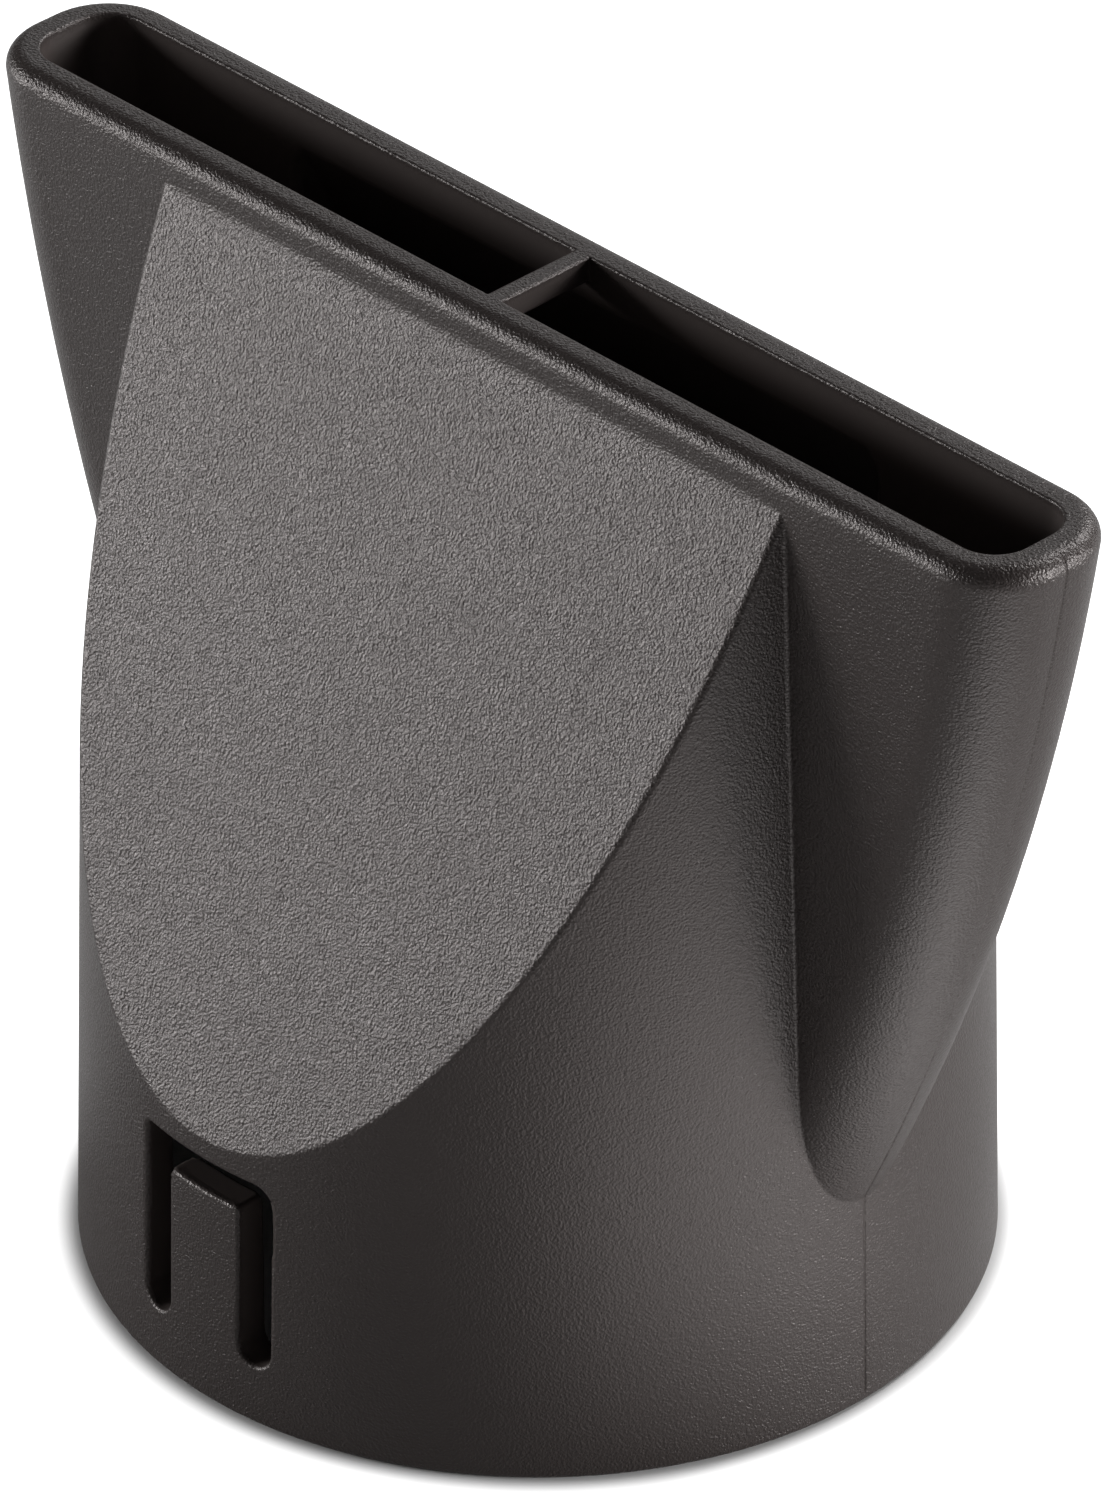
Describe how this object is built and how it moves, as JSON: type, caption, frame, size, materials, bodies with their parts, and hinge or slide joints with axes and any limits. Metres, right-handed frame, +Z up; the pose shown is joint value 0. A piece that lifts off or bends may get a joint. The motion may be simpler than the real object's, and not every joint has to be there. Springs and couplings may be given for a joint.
{
  "type": "hair dryer nozzle",
  "caption": "Charcoal plastic concentrator nozzle for a hair dryer: a round push-on barrel that flares into a flat air slot.",
  "frame": {"origin": "centre of the foot ring, on the axis of the bore", "axes": "+Z up along the bore towards the air slot, +X along the slot, -Y towards the face with the shown snap tongue"},
  "size_m": [0.0824, 0.054, 0.0639],
  "materials": {
    "charcoal_plastic": "fine spark-eroded grain outside, smooth inside"
  },
  "bodies": {
    "root": {"nozzle": "charcoal_plastic"}
  },
  "joints": []
}
